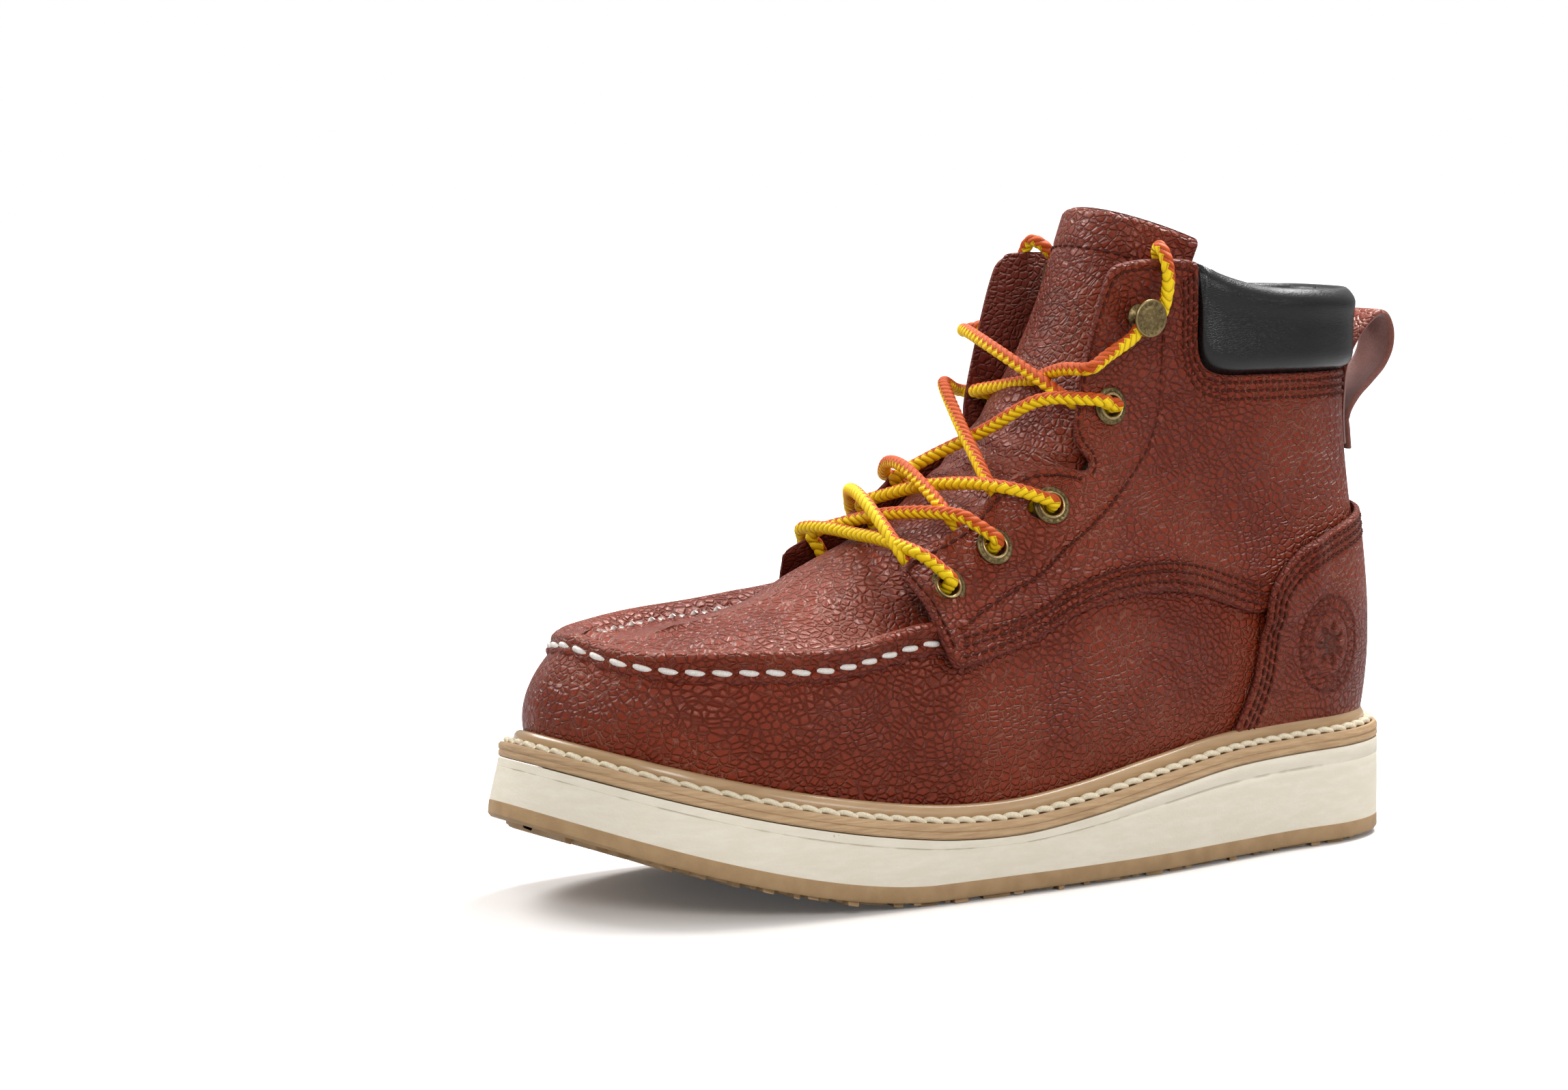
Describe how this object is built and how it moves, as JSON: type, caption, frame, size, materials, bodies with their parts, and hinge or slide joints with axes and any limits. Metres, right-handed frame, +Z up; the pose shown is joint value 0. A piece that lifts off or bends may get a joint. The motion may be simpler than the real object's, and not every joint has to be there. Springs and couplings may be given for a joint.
{
  "type": "work boot",
  "caption": "Left ankle-height steel toe work boot with a moc-toe apron, welted wedge sole, padded collar, heel pull loop, and criss-cross laces through eyelets and hooks.",
  "frame": {"origin": "middle of the boot's box in plan, on the surface that it stands on", "axes": "+X from heel to toe, +Y towards the wearer's left, which is the outer side of this left boot, +Z up"},
  "size_m": [0.3164, 0.1059, 0.199],
  "materials": {
    "leather": "pebbled red-brown, soft sheen",
    "black": "smooth black padded collar",
    "brass": "antique, half polished",
    "rand": "tan, semi-gloss, cut edge matt",
    "cream": "matt foamed rubber",
    "gum": "matt gum rubber",
    "thread": "waxed twisted thread",
    "yellow": "woven, yellow and rust",
    "steel": "pressed steel",
    "board": "fibre board",
    "cork": "pressed cork",
    "foam": "cloth-covered foam",
    "lining": "matt lining leather"
  },
  "bodies": {
    "boot": {"outsole": "gum", "midsole_wedge": "cream", "welt": "rand", "rand": "rand", "welt_thread": "thread", "cork_filler": "cork", "insole_board": "board", "footbed": "foam", "steel_shank": "steel", "vamp": "leather", "apron": "leather", "quarter_outer": "leather", "quarter_inner": "leather", "heel_counter_cover": "leather", "heel_stiffener": "board", "backstay": "leather", "pull_loop": "leather", "collar_pad": "black", "lining": "lining", "steel_toe_cap": "steel", "toe_lining": "lining", "eyelet_outer_1": "brass", "eyelet_outer_2": "brass", "eyelet_outer_3": "brass", "eyelet_outer_4": "brass", "eyelet_inner_1": "brass", "eyelet_inner_2": "brass", "eyelet_inner_3": "brass", "eyelet_inner_4": "brass", "hook_outer": "brass", "hook_inner": "brass", "lace_outer": "yellow", "lace_inner": "yellow"},
    "tongue": {"tongue": "leather"}
  },
  "joints": [
    {"name": "tongue_hinge", "type": "hinge", "parent": "boot", "child": "tongue", "pos_m": [0.0478, -0.0018, 0.093], "axis": [0, -1, 0], "range_deg": [0, 6]}
  ]
}
